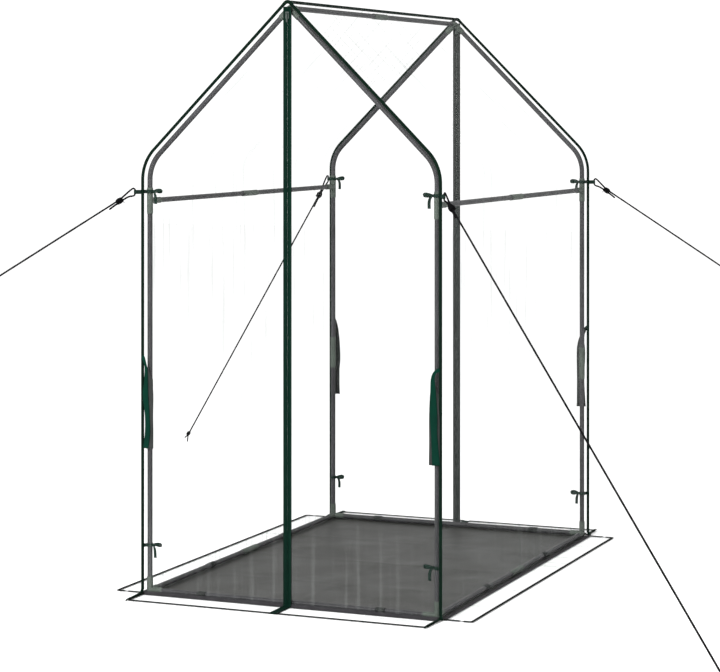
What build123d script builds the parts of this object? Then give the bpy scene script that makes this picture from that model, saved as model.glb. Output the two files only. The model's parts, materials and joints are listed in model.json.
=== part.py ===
"""Small walk-in greenhouse: a slotted tube frame under a clear film cover.

Millimetres. X runs along the front (right is +), Y runs from front to back and Z is up.
The origin is on the ground, in the middle of the footprint.
"""

import os
from math import atan2, cos, hypot, pi, radians, sin, tan

from build123d import *

os.makedirs("parts", exist_ok=True)

# Frame: places of the tube axes
POST_X = 471.5  # half the width between the posts
POST_Y = 711.0  # half the depth between the posts
RAIL_Z = 11.0  # base rails
MID_Z = 604.0  # joint halfway up each post
EAVE_Z = 1207.0  # side rails under the roof
EAVE_CORNER_Z = 1318.5  # where a post and a rafter would meet without the bend
RIDGE_Z = 1790.0
BEND_R = 115.0
PITCH = atan2(RIDGE_Z - EAVE_CORNER_Z, POST_X)

# Frame: sections
TUBE_R = 8.0
TUBE_BORE = 7.0
FITTING_R = 9.5
SOCKET_R = 8.1  # leaves the tube 0.1 mm all round
SOCKET_STOP = 11.0  # a tube ends this far from the middle of an angled fitting
WEB = 2.0  # half the web that stops the two tubes in a straight socket
RIM = 0.8
COUPLER_HALF = 55.0
TEE_HALF = 40.0
TEE_ARM = 65.0
CORNER_ARM = 42.0

# Cover
COVER_GAP = 16.7  # from the tube axes to the middle of the film
COVER_X = POST_X + COVER_GAP
COVER_Y = POST_Y + COVER_GAP
FILM = 1.0
FOOT_Z = 1.3  # the upright film starts this high, just above the ground sheet
PIPING_R = 4.0
PEAK_ROUND = 12.0
GABLE_TIP_X = 8.5  # the film ends level under the rounded peak of the piping
SEAM_CLEAR = 0.2
SKIRT = 97.0
SKIRT_GAP = 3.0

# Doors: each flap turns about a line from near the peak to the foot of the wall
FOLD_TOP = (16.5, 1716.0)
FOLD_FOOT_X = 455.0
FOLD_GAP = 1.5  # each side of the fold line
SPLIT_Z = 1712.0  # the moving tapes end under this height, and the fixed ones start above it
SPLIT_GAP = 1.5
DOOR_EDGE = 3.0  # film edge beside the zip
DOOR_SKIRT_END = 391.0
SKIRT_CORNER_START = 396.0

# Zips
TAPE_IN = 1.0  # half the gap between the two tapes
TAPE_OUT = 12.5
TAPE_T = 1.5
TAPE_TOP_Z = 1794.0
SLIDER_Z = 1768.0
SLIDER_SIZE = (12.0, 1.5, 22.0)
SLIDER_CLEAR = 0.3
NECK_HALF = 0.7
EAR_X = 2.9
EAR_T = 1.2
PIN_R = 0.8
PIN_BORE = 0.85
PIN_OUT = 6.3  # from the middle of the film to the pull's pin
PIN_UP = 5.0
PULL_EYE_R = 1.9
PULL_HALF_W = 2.2
PULL_DROP = 26.0
PULL_T = 1.4

# Ties, straps and guy ropes
TIE_T = 1.5
TIE_W = 8.0
TIE_HEIGHTS = {1235.0: FITTING_R, 150.0: TUBE_R}  # height: radius that the tie goes round
LOOP_W = 30.0
LOOP_X = 294.0
LOOP_Y = 285.0
STRAP_SIZE = (24.0, 3.0, 280.0)
STRAP_X = 474.0
STRAP_Z = 597.0
STRAP_OUT = 6.0
GUY_Z = 1234.0
EYE_OUT = 23.3  # from the corner seam to the middle of the guy loop's eye
EYE_R = 3.5
GUY_LOOP_T = 1.2
GUY_LOOP_W = 13.0
ROPE_R = 2.0
NEAR_KNOT = (10.0, 24.0)  # radius and length
END_KNOT = (8.0, 20.0)
KNOT_AT = 51.0  # from the eye to the near knot
END_RING_R = 14.0

CORNERS = {
    "front_left": (-1, -1),
    "front_right": (1, -1),
    "back_left": (-1, 1),
    "back_right": (1, 1),
}
ENDS = {"front": -1, "back": 1}
FLANKS = {"left": -1, "right": 1}

# Each rope: plan direction, drop per unit run, height of the tight line where it would
# leave the eye, and run from the eye to its end knot
DIAGONAL = cos(pi / 4)
ROPES = {
    "front_left": ((-DIAGONAL, -DIAGONAL), 0.597, 1.5, 475.0),
    "front_right": ((DIAGONAL, -DIAGONAL), 0.681, 1.0, 1565.0),
    "back_right": ((DIAGONAL, DIAGONAL), 0.606, -1.5, 565.0),
    "back_left": ((-0.8982, 0.4396), 1.211, -6.0, 846.0),
}
TIGHT_FROM = 8.5  # run at which the tight line has the height above
# The returning strand, as (run from the eye, depth under the tight line)
RETURN_STRAND = [(83, 8.0), (68, 6.2), (54, 6.3), (37, 5.5), (20, 6.0)]
# The turn through the eye, as (run from the eye, height above the eye's middle)
ROPE_TURN = [(5.5, -13.0), (0.0, -6.5), (0.0, 6.5), (4.0, 11.5), (10.0, 11.0)]


def save(name, *parts):
    """Write one node: one solid, or a group of separate solids."""
    solids = [solid for part in parts for solid in part.solids()]
    export_step(solids[0] if len(solids) == 1 else Compound(children=solids), f"parts/{name}.step")


def rod(start, end, radius, bore=0.0):
    """A straight round bar from start to end, or a tube if it has a bore."""
    run = Vector(*end) - Vector(*start)
    ring = Circle(radius) - Circle(bore) if bore else Circle(radius)
    return extrude(Plane(origin=start, z_dir=run) * ring, amount=run.length)


def tube(start, end):
    """A frame tube."""
    return rod(start, end, TUBE_R, TUBE_BORE)


def slab(low, high):
    """A box between two corners."""
    size = [b - a for a, b in zip(low, high)]
    middle = [(a + b) / 2 for a, b in zip(low, high)]
    return Pos(*middle) * Box(*size)


def mirrored(part, sx, sy):
    """Copy a part of the back right quarter to another quarter."""
    if sx < 0:
        part = mirror(part, about=Plane.YZ)
    if sy < 0:
        part = mirror(part, about=Plane.XZ)
    return part


def along(point, direction, distance):
    """The point at a distance from another."""
    return tuple(p + d * distance for p, d in zip(point, direction))


def socket_arm(centre, direction, length):
    """The outside of one arm of a fitting, with its rim eased."""
    arm = rod(centre, along(centre, direction, length), FITTING_R)
    rims = arm.edges().filter_by(GeomType.CIRCLE)
    return chamfer(max(rims, key=lambda e: (e.center() - Vector(*centre)).length), RIM)


def fitting(centre, arms, stop=SOCKET_STOP):
    """A moulded fitting whose arms are sockets, each given as (direction, length)."""
    body = Pos(*centre) * Sphere(FITTING_R)
    for direction, length in arms:
        body += socket_arm(centre, direction, length)
    for direction, length in arms:
        start = along(centre, direction, WEB if direction in stop_at_web(arms) else stop)
        body -= rod(start, along(centre, direction, length + 1), SOCKET_R)
    return body


def stop_at_web(arms):
    """The directions of arms that have another arm straight opposite."""
    directions = [direction for direction, _ in arms]
    return [d for d in directions if tuple(-v for v in d) in directions]


def coupler(centre, direction):
    """A straight socket that joins two tubes end to end."""
    back = tuple(-v for v in direction)
    return fitting(centre, [(direction, COUPLER_HALF), (back, COUPLER_HALF)])


def roofline(offset, foot_z, end_x):
    """Foot, eave corner and upper end of the right side, at an offset outside the tube axes."""
    x = POST_X + offset
    corner_z = EAVE_CORNER_Z + offset * (1 - sin(PITCH)) / cos(PITCH)
    end_z = RIDGE_Z + offset / cos(PITCH) - end_x * tan(PITCH)
    return [(x, foot_z), (x, corner_z), (end_x, end_z)]


def bent_line(points, radius):
    """Two straight runs joined by a tangent arc."""
    return FilletPolyline(*points, radius=radius)


def swept(path, section):
    """A section swept along a path of runs and tangent arcs."""
    return sweep(Plane(origin=path @ 0, z_dir=path % 0) * section, path=path)


def fold_x(z, side):
    """Place of the fold line at a height, moved to one side of it by the fold gap."""
    top_x, top_z = FOLD_TOP
    slope = (FOLD_FOOT_X - top_x) / top_z
    return FOLD_FOOT_X - slope * z + side * FOLD_GAP * hypot(1, slope)


# Frame


def base_frame():
    """Corner fittings, base rails and their tubes."""
    for name, (sx, sy) in CORNERS.items():
        corner = (sx * POST_X, sy * POST_Y, RAIL_Z)
        arms = [((0, 0, 1), CORNER_ARM), ((-sx, 0, 0), CORNER_ARM), ((0, -sy, 0), CORNER_ARM)]
        save(f"base_corner_{name}", fitting(corner, arms))
    reach_x, reach_y = POST_X - SOCKET_STOP, POST_Y - SOCKET_STOP
    for name, sy in ENDS.items():
        y = sy * POST_Y
        save(f"base_rail_{name}", tube((-reach_x, y, RAIL_Z), (reach_x, y, RAIL_Z)))
    for name, sx in FLANKS.items():
        for rail, z in (("base_rails", RAIL_Z), ("eave_rails", EAVE_Z)):
            halves = [tube((sx * POST_X, s * WEB, z), (sx * POST_X, s * reach_y, z)) for s in (-1, 1)]
            save(f"{rail}_{name}", *halves)


def posts_and_roof():
    """Posts, tees, bent rafters, peak fittings and ridge tubes."""
    for name, (sx, sy) in CORNERS.items():
        x, y = sx * POST_X, sy * POST_Y
        save(f"lower_post_{name}", tube((x, y, RAIL_Z + SOCKET_STOP), (x, y, MID_Z - WEB)))
        save(f"upper_post_{name}", tube((x, y, MID_Z + WEB), (x, y, EAVE_Z - WEB)))
        arms = [((0, 0, 1), TEE_HALF), ((0, 0, -1), TEE_HALF), ((0, -sy, 0), TEE_ARM)]
        save(f"eave_tee_{name}", fitting((x, y, EAVE_Z), arms))
        save(f"rafter_{name}", rafter(sx, y))
    slopes = [(s * cos(PITCH), 0, -sin(PITCH)) for s in (-1, 1)]
    for name, sy in ENDS.items():
        arms = [(slope, CORNER_ARM) for slope in slopes] + [((0, -sy, 0), CORNER_ARM)]
        save(f"peak_connector_{name}", fitting((0, sy * POST_Y, RIDGE_Z), arms))
    ends = [(s * WEB, s * (POST_Y - SOCKET_STOP)) for s in (-1, 1)]
    save("ridge_tubes", *[tube((0, a, RIDGE_Z), (0, b, RIDGE_Z)) for a, b in ends])


def rafter(sx, y):
    """A tube that leaves the tee upright and bends over to the peak."""
    end_x = SOCKET_STOP * cos(PITCH)
    points = [(sx * x, y, z) for x, z in roofline(0.0, EAVE_Z + WEB, end_x)]
    return swept(bent_line(points, BEND_R), Circle(TUBE_R) - Circle(TUBE_BORE))


def straight_couplers():
    """The nine straight sockets: on the posts, the side rails and the ridge."""
    up, deep = (0, 0, 1), (0, 1, 0)
    places = [((sx * POST_X, sy * POST_Y, MID_Z), up) for sx, sy in CORNERS.values()]
    places += [((s * POST_X, 0, z), deep) for s in FLANKS.values() for z in (RAIL_Z, EAVE_Z)]
    places.append(((0, 0, RIDGE_Z), deep))
    save("straight_couplers", *[coupler(centre, direction) for centre, direction in places])


# Cover


def side_cover():
    """Film of the right side: the wall, the bend over the eave and the roof."""
    half = FILM / 2
    lines = []
    for offset in (COVER_GAP + half, COVER_GAP - half):
        points = roofline(offset, FOOT_Z, PIPING_R + 1.2)
        lines.append((points, bent_line(points, BEND_R + offset)))
    (outer_points, outer), (inner_points, inner) = lines
    ends = Line(outer_points[0], inner_points[0]) + Line(outer_points[-1], inner_points[-1])
    face = make_face(outer + inner + ends)
    return extrude(Plane.XZ * face, amount=COVER_Y - PIPING_R - SEAM_CLEAR, both=True)


def upright_film(outline):
    """A closed outline in the wall's plane, given thickness at the back wall."""
    return Pos(0, COVER_Y, 0) * extrude(Plane.XZ * make_face(outline), amount=FILM / 2, both=True)


def gable_half():
    """The fixed film of one half of an end wall, outside the fold line."""
    offset = COVER_GAP - PIPING_R - SEAM_CLEAR
    edge = roofline(offset, FOOT_Z, GABLE_TIP_X)
    split = SPLIT_Z + SPLIT_GAP
    inner = [edge[-1], (DOOR_EDGE, edge[-1][1]), (DOOR_EDGE, split)]
    inner += [(fold_x(split, 1), split), (fold_x(FOOT_Z, 1), FOOT_Z)]
    return upright_film(bent_line(edge, BEND_R + offset) + Polyline(*inner, edge[0]))


def door_half():
    """The moving film of one half of an end wall, and the skirt sewn to its foot."""
    top = SPLIT_Z - SPLIT_GAP
    film = upright_film(
        Polyline(
            (DOOR_EDGE, FOOT_Z),
            (fold_x(FOOT_Z, -1), FOOT_Z),
            (fold_x(top, -1), top),
            (DOOR_EDGE, top),
            close=True,
        )
    )
    inner_y = COVER_Y - FILM / 2
    skirt = slab((DOOR_EDGE, inner_y, 0), (DOOR_SKIRT_END, COVER_Y + SKIRT, FILM))
    return film, skirt


def skirt_corner():
    """The short end of a skirt that stays on the ground beside the corner."""
    inner_y = COVER_Y - FILM / 2
    return slab((SKIRT_CORNER_START, inner_y, 0), (COVER_X + FILM / 2, COVER_Y + SKIRT, FILM))


def side_skirt():
    """The flap on the ground along the right side."""
    y = COVER_Y - PIPING_R - 1.7
    return slab((COVER_X + SKIRT_GAP, -y, 0), (COVER_X + SKIRT, y, FILM))


def cover():
    """Film panels, doors, skirts, ground sheet and the piping in the seams."""
    for name, sx in FLANKS.items():
        save(f"cover_{name}", mirrored(side_cover(), sx, 1))
        save(f"skirt_{name}", mirrored(side_skirt(), sx, 1))
    for name, sy in ENDS.items():
        save(f"gable_{name}", *[mirrored(gable_half(), sx, sy) for sx in FLANKS.values()])
    for name, (sx, sy) in CORNERS.items():
        save(f"door_flap_{name}", *[mirrored(part, sx, sy) for part in door_half()])
    save("skirt_corners", *[mirrored(skirt_corner(), sx, sy) for sx, sy in CORNERS.values()])
    x, y = COVER_X - FILM - 0.7, COVER_Y - FILM - 0.7
    save("floor_sheet", slab((-x, -y, 0), (x, y, FILM)))
    save("seam_piping", arch_piping(-1), arch_piping(1), ridge_piping())


def arch_piping(sy):
    """Piping up one corner, over both roof edges and down the other corner."""
    right = roofline(COVER_GAP, FOOT_Z, 0.0)
    left = [(-x, z) for x, z in right[1::-1]]
    points = [(x, sy * COVER_Y, z) for x, z in left[::-1]] + [
        (x, sy * COVER_Y, z) for x, z in right[::-1]
    ]
    radii = [BEND_R + COVER_GAP, PEAK_ROUND, BEND_R + COVER_GAP]
    return swept(FilletPolyline(*points, radius=radii), Circle(PIPING_R))


def ridge_piping():
    """Piping along the ridge, between the two arches."""
    rounding = PEAK_ROUND * (1 / cos(PITCH) - 1)
    z = RIDGE_Z + COVER_GAP / cos(PITCH) - rounding
    y = COVER_Y - PIPING_R - SEAM_CLEAR
    return rod((0, -y, z), (0, y, z), PIPING_R)


# Zips


def zip_tape():
    """Half of a door's zip: down the wall and out over the skirt."""
    face_y = COVER_Y + FILM / 2
    wall = slab((TAPE_IN, face_y, FILM), (TAPE_OUT, face_y + TAPE_T, SPLIT_Z - SPLIT_GAP))
    ground = slab((TAPE_IN, face_y, FILM), (TAPE_OUT, COVER_Y + SKIRT, FILM + TAPE_T))
    return wall + ground


def top_tape():
    """The short fixed length of tape between the door and the peak."""
    face_y = COVER_Y + FILM / 2
    return slab((TAPE_IN, face_y, SPLIT_Z + SPLIT_GAP), (TAPE_OUT, face_y + TAPE_T, TAPE_TOP_Z))


def zip_slider():
    """A slider that holds the tapes between two plates, with ears and a pin for its pull."""
    width, plate, length = SLIDER_SIZE
    front = COVER_Y + FILM / 2 + TAPE_T + SLIDER_CLEAR
    back = COVER_Y - FILM / 2 - SLIDER_CLEAR
    low, high = SLIDER_Z - length / 2, SLIDER_Z + length / 2
    body = slab((-width / 2, front, low), (width / 2, front + plate, high))
    body += slab((-width / 2, back - plate, low), (width / 2, back, high))
    body += slab((-NECK_HALF, back, low + 4), (NECK_HALF, front, high - 2))
    body = fillet(body.edges().filter_by(Axis.Y).group_by(Axis.X)[0], 1.5)
    body = fillet(body.edges().filter_by(Axis.Y).group_by(Axis.X)[-1], 1.5)
    pin_y, pin_z = COVER_Y + PIN_OUT, SLIDER_Z + PIN_UP
    for side in (-1, 1):
        x = side * EAR_X
        ear = rod((x - EAR_T / 2, pin_y, pin_z), (x + EAR_T / 2, pin_y, pin_z), 1.6)
        foot = slab((x - EAR_T / 2, front + plate, pin_z - 1.6), (x + EAR_T / 2, pin_y, pin_z + 1.6))
        body += ear + foot
    return body + rod((-EAR_X, pin_y, pin_z), (EAR_X, pin_y, pin_z), PIN_R)


def zip_pull():
    """The pull that hangs on the slider's pin."""
    pin_y, pin_z = COVER_Y + PIN_OUT, SLIDER_Z + PIN_UP
    low_z = pin_z - PULL_DROP
    tab = slab((-PULL_HALF_W, pin_y - PULL_T / 2, low_z), (PULL_HALF_W, pin_y + PULL_T / 2, pin_z))
    tab = fillet(tab.edges().filter_by(Axis.Y).group_by(Axis.Z)[0], 1.8)
    tab += rod((-PULL_HALF_W, pin_y, pin_z), (PULL_HALF_W, pin_y, pin_z), PULL_EYE_R)
    return tab - rod((-5, pin_y, pin_z), (5, pin_y, pin_z), PIN_BORE)


def zips():
    """Tapes, sliders and pulls of both doors."""
    for name, (sx, sy) in CORNERS.items():
        save(f"zip_tape_{name}", mirrored(zip_tape(), sx, sy))
    save("zip_top_tapes", *[mirrored(top_tape(), sx, sy) for sx, sy in CORNERS.values()])
    for name, sy in ENDS.items():
        save(f"zip_slider_{name}", mirrored(zip_slider(), 1, sy))
        save(f"zip_pull_{name}", mirrored(zip_pull(), 1, sy))


# Ties, straps and ropes


def post_tie(height, round_r):
    """A tape round the post, with a strip that runs out to the corner seam."""
    centre = (POST_X, POST_Y)
    low, high = height - TIE_W / 2, height + TIE_W / 2
    inside = round_r + SEAM_CLEAR
    band = rod((*centre, low), (*centre, high), inside + TIE_T)
    reach = hypot(COVER_GAP, COVER_GAP) - PIPING_R - SEAM_CLEAR
    strip = Pos(reach / 2, 0, 0) * Box(reach, TIE_T, TIE_W)
    band += Pos(*centre, height) * Rot(0, 0, 45) * strip
    return band - rod((*centre, low), (*centre, high), inside)


def rail_loop(centre, along_x):
    """A band round a base rail, with a tab that is sewn to the foot of the wall."""
    x, y = centre
    half = LOOP_W / 2
    inside = TUBE_R + SEAM_CLEAR
    ends = [(x + s * half, y, RAIL_Z) if along_x else (x, y + s * half, RAIL_Z) for s in (-1, 1)]
    tab_end = COVER_GAP - FILM / 2 - SEAM_CLEAR
    low_z, high_z = RAIL_Z - TIE_T / 2, RAIL_Z + TIE_T / 2
    if along_x:
        tab = slab((x - half, y, low_z), (x + half, y + tab_end, high_z))
    else:
        tab = slab((x, y - half, low_z), (x + tab_end, y + half, high_z))
    return rod(*ends, inside + TIE_T) + tab - rod(*ends, inside)


def ties_and_straps():
    """Ties that hold the cover to the frame, and straps that hold an open door."""
    ties = []
    for sx, sy in CORNERS.values():
        ties += [mirrored(post_tie(z, r), sx, sy) for z, r in TIE_HEIGHTS.items()]
        ties.append(mirrored(rail_loop((LOOP_X, POST_Y), True), sx, sy))
        ties.append(mirrored(rail_loop((POST_X, LOOP_Y), False), sx, sy))
    save("frame_ties", *ties)
    strap = Pos(STRAP_X, COVER_Y + STRAP_OUT, STRAP_Z) * Box(*STRAP_SIZE)
    save("tie_back_straps", *[mirrored(strap, sx, sy) for sx, sy in CORNERS.values()])


def guy_loop():
    """A tape folded into an upright eye, sewn into the corner seam."""
    outer = make_hull((Pos(EYE_OUT, 0) * Circle(EYE_R + GUY_LOOP_T) + Pos(7, 0) * Circle(2)).edges())
    eye = make_hull((Pos(EYE_OUT, 0) * Circle(EYE_R) + Pos(9, 0) * Circle(0.8)).edges())
    ribbon = extrude(outer - eye, amount=GUY_LOOP_W / 2, both=True)
    return Pos(COVER_X, COVER_Y, GUY_Z) * Rot(0, 0, 45) * ribbon


def bend_radii(points):
    """Radius of each corner of a route: as large as its two runs leave room for."""
    vectors = [Vector(*point) for point in points]
    radii = []
    for a, b, c in zip(vectors, vectors[1:], vectors[2:]):
        before, after = b - a, c - b
        half_turn = radians(before.get_angle(after)) / 2
        radii.append(0.45 * min(before.length, after.length) / tan(half_turn))
    return radii


def eye_of(name):
    """The middle of a guy loop's eye."""
    sx, sy = CORNERS[name]
    out = EYE_OUT * DIAGONAL
    return sx * (COVER_X + out), sy * (COVER_Y + out), GUY_Z


def rope_point(name, run, height):
    """A point in a rope's upright plane, from its eye."""
    dx, dy = ROPES[name][0]
    x, y, z = eye_of(name)
    return x + dx * run, y + dy * run, z + height


def on_rope(name, run, depth=0.0):
    """A point on the tight line of a rope, or at a depth under it."""
    _, drop, height, _ = ROPES[name]
    return rope_point(name, run, height - drop * (run - TIGHT_FROM) - depth)


def guy_rope(name):
    """Rope from its tail end, through the knot and the eye, and out to the end knot."""
    points = [on_rope(name, *place) for place in RETURN_STRAND]
    points += [rope_point(name, *place) for place in ROPE_TURN]
    points += [on_rope(name, KNOT_AT - 3), on_rope(name, ROPES[name][3])]
    radii = bend_radii(points)
    path = FilletPolyline(*points, radius=radii)
    rope = swept(path, Circle(ROPE_R))
    share = rope.volume / (pi * ROPE_R**2 * path.length)
    print(f"guy_rope_{name}: {path.length:.0f} mm long, volume {share:.4f} of section times length,")
    print(f"  radii {[round(r, 1) for r in radii]}")
    return rope


def knot(name, run, below, size):
    """The outer shape of a knot on a rope."""
    radius, length = size
    half = length / 2 / hypot(1, ROPES[name][1])
    ends = [on_rope(name, run + s * half, below) for s in (-1, 1)]
    bead = rod(*ends, radius)
    return fillet(bead.edges().filter_by(GeomType.CIRCLE), 3.0)


def end_ring(name):
    """The loop at the end of a rope that goes over its peg."""
    (dx, dy), drop, _, reach = ROPES[name]
    run = reach + (END_KNOT[1] / 2 + END_RING_R) / hypot(1, drop)
    ring = Plane(origin=on_rope(name, run), z_dir=(-dy, dx, 0)) * Torus(END_RING_R, ROPE_R)
    return ring


def guy_ropes():
    """Four guy loops, four ropes and their knots."""
    save("guy_loops", *[mirrored(guy_loop(), sx, sy) for sx, sy in CORNERS.values()])
    knots = []
    for name in ROPES:
        save(f"guy_rope_{name}", guy_rope(name))
        knots.append(knot(name, KNOT_AT, 3.0, NEAR_KNOT))
        knots.append(knot(name, ROPES[name][3], 0.0, END_KNOT))
    rings = [end_ring(name) for name in ROPES if name != "back_left"]
    save("guy_knots", *knots, *rings)


base_frame()
posts_and_roof()
straight_couplers()
cover()
zips()
ties_and_straps()
guy_ropes()
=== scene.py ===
"""Looks of a small walk-in greenhouse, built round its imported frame.

Metres. X runs along the front wall, Y from the front wall to the back one, and Z up.
Every object sits at the origin, and its place is in its mesh.
"""

from __future__ import annotations

import json
import logging
import math
from collections.abc import Iterable, Sequence
from dataclasses import dataclass
from enum import Enum

import bpy
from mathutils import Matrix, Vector, noise

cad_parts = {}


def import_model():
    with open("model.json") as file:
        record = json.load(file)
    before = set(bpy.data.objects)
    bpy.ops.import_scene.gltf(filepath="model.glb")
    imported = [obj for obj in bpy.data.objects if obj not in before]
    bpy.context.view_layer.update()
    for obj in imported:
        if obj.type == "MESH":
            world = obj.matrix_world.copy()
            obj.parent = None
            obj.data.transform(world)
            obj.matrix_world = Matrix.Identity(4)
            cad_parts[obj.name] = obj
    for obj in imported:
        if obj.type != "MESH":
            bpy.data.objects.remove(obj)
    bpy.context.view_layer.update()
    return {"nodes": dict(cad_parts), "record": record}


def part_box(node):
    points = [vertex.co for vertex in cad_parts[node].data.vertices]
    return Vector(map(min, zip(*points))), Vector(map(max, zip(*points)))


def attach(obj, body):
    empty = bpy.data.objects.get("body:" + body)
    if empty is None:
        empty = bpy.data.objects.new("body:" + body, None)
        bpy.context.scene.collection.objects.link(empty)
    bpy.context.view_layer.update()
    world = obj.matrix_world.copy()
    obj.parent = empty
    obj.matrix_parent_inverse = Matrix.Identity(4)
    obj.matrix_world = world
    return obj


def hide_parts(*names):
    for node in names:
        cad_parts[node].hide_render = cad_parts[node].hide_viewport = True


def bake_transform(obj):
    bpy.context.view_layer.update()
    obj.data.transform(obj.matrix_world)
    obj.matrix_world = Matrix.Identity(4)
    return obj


LOG = logging.getLogger("greenhouse")

EAVE_CORNER_Z = 1.3185  # where a post and its rafter would meet without the bend
EAVE_BEND = 0.115  # radius of a rafter's bend, on its axis
FILM = 0.001  # thickness of the film's solids
FOOT_Z = 0.0013  # where a wall's outline starts
SKIRT_Z = 0.0011  # film that lies on the ground
HEM_Z = 0.0032  # hems on that film
SKIRT_EXTRA = 0.012  # the end skirts lie out this much further than their solids
HEM_WIDTH = 0.010
HEM_THICK = 0.0024
HEM_ROUND = 0.012  # rounding of a hem's corner
FOLD_TOP = (0.0165, 1.716)  # X and Z of a door's fold line at its top
FOLD_FOOT_X = 0.455
ZIP_EDGE = 0.003  # from the middle of the zip to the film
X_WAY, UP = Vector((1, 0, 0)), Vector((0, 0, 1))
FULL_TURN = 2 * math.pi

Triple = tuple[float, float, float]
Width = float | Sequence[float]
StrapRoute = tuple[tuple[float, float, float, float], ...]
Face = tuple[int, ...]
Socket = bpy.types.NodeSocket
Material = bpy.types.Material
Piece = bpy.types.Object


def linear(code: str) -> tuple[float, float, float, float]:
    """Turn a hex colour into linear light.

    Args:
        code: Six hex digits after a hash.

    Returns:
        Red, green, blue and an alpha of one.
    """
    parts = [int(code[i : i + 2], 16) / 255 for i in (1, 3, 5)]
    light = [c / 12.92 if c <= 0.04045 else ((c + 0.055) / 1.055) ** 2.4 for c in parts]
    return (light[0], light[1], light[2], 1.0)


class Side(Enum):
    """The two long sides, by the sign of X."""

    LEFT = -1
    RIGHT = 1


class End(Enum):
    """The two end walls, by the sign of Y."""

    FRONT = -1
    BACK = 1


@dataclass(frozen=True)
class Corner:
    """One corner of the greenhouse."""

    end: End
    side: Side

    @property
    def name(self) -> str:
        """The corner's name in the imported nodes."""
        return f"{self.end.name}_{self.side.name}".lower()

    @property
    def outward(self) -> Vector:
        """The level direction that points away from the middle at 45 degrees."""
        return Vector((self.side.value, self.end.value, 0)).normalized()

    @property
    def inward_x(self) -> Vector:
        """The direction along the end wall, towards the zip."""
        return Vector((-self.side.value, 0, 0))

    def place(self, x: float, y: float, z: float) -> Vector:
        """Copy a point of the back right quarter to this corner's quarter."""
        return Vector((self.side.value * x, self.end.value * y, z))


CORNERS = [Corner(end, side) for end in End for side in Side]


@dataclass(frozen=True)
class Plan:
    """Main sizes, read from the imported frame."""

    post_x: float
    post_y: float
    rail_z: float
    ridge_z: float
    wall_x: float
    wall_y: float
    skirt_x: float
    skirt_y: float

    @classmethod
    def read(cls) -> Plan:
        """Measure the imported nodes."""
        names = ("lower_post_back_right", "base_rail_front", "ridge_tubes")
        post, rail, ridge = (sum(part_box(name), Vector()) / 2 for name in names)
        return cls(
            post_x=post.x,
            post_y=post.y,
            rail_z=rail.z,
            ridge_z=ridge.z,
            wall_x=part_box("cover_right")[1].x - FILM / 2,
            wall_y=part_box("gable_back")[1].y - FILM / 2,
            skirt_x=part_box("skirt_right")[1].x,
            skirt_y=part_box("door_flap_back_right")[1].y + SKIRT_EXTRA,
        )

    @property
    def gap(self) -> float:
        """Distance from the tube axes out to the film."""
        return self.wall_x - self.post_x


class Roofline:
    """Outline of the right side at a gap outside the tube axes: wall, bend and slope."""

    def __init__(self, plan: Plan, gap: float) -> None:
        """Work out the three stretches.

        Args:
            plan: Main sizes.
            gap: Distance outside the tube axes.
        """
        self.pitch = math.atan2(plan.ridge_z - EAVE_CORNER_Z, plan.post_x)
        self.x = plan.post_x + gap
        self.radius = EAVE_BEND + gap
        self.turn = math.pi / 2 - self.pitch
        corner_z = EAVE_CORNER_Z + gap * (1 - math.sin(self.pitch)) / math.cos(self.pitch)
        self.peak_z = plan.ridge_z + gap / math.cos(self.pitch)
        tangent = self.radius * math.tan(self.turn / 2)
        self.wall = corner_z - tangent - FOOT_Z
        self.bend = self.radius * self.turn
        self.slope = self.x / math.cos(self.pitch) - tangent
        self.length = self.wall + self.bend + self.slope

    def at(self, distance: float) -> tuple[float, float, float, float]:
        """Follow the outline from its foot.

        Args:
            distance: Length along the outline.

        Returns:
            X and Z of the point, and X and Z of the outward normal.
        """
        centre_x, centre_z = self.x - self.radius, FOOT_Z + self.wall
        if distance <= self.wall:
            return self.x, FOOT_Z + distance, 1.0, 0.0
        angle = min((distance - self.wall) / self.radius, self.turn)
        normal_x, normal_z = math.cos(angle), math.sin(angle)
        run = max(0.0, distance - self.wall - self.bend)
        x = centre_x + self.radius * normal_x - run * math.cos(self.pitch)
        z = centre_z + self.radius * normal_z + run * math.sin(self.pitch)
        return x, z, normal_x, normal_z

    def height_at(self, x: float) -> float:
        """Height of the outline over a place on the end wall."""
        straight = self.peak_z - x * math.tan(self.pitch)
        centre_x = self.x - self.radius
        if x <= centre_x + self.radius * math.cos(self.turn):
            return straight
        return FOOT_Z + self.wall + math.sqrt(max(0.0, self.radius**2 - (x - centre_x) ** 2))


def smooth_line(points: Sequence[Vector], steps: int = 8) -> list[Vector]:
    """Draw a smooth line through a few points.

    Args:
        points: Points to pass through.
        steps: Steps between two points.

    Returns:
        The points of the line.
    """
    padded = [2 * points[0] - points[1], *points, 2 * points[-1] - points[-2]]
    line = []
    for a, b, c, d in zip(padded, padded[1:], padded[2:], padded[3:]):
        for i in range(steps):
            t = i / steps
            bend = (2 * a - 5 * b + 4 * c - d) * t**2 + (3 * b - a - 3 * c + d) * t**3
            line.append((2 * b + (c - a) * t + bend) / 2)
    return [*line, points[-1].copy()]


def smooth_widths(widths: Sequence[float], steps: int) -> list[float]:
    """Even out a band's widths in the way of its smooth line."""
    return [v.x for v in smooth_line([Vector((width, 0, 0)) for width in widths], steps)]


def spread(low: float, high: float, count: int) -> list[float]:
    """Even steps from one number to another, with both ends."""
    return [low + (high - low) * i / count for i in range(count + 1)]


def tangents(line: Sequence[Vector]) -> list[Vector]:
    """Unit directions along a line, one at each point."""
    last = len(line) - 1
    return [(line[min(i + 1, last)] - line[max(i - 1, 0)]).normalized() for i in range(last + 1)]


def arc(centre: Vector, u: Vector, v: Vector, radius: float, angles: Iterable[float]) -> list[Vector]:
    """Points on a circle in the plane of two unit vectors, at some angles from the first."""
    return [centre + radius * (math.cos(a) * u + math.sin(a) * v) for a in angles]


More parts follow.
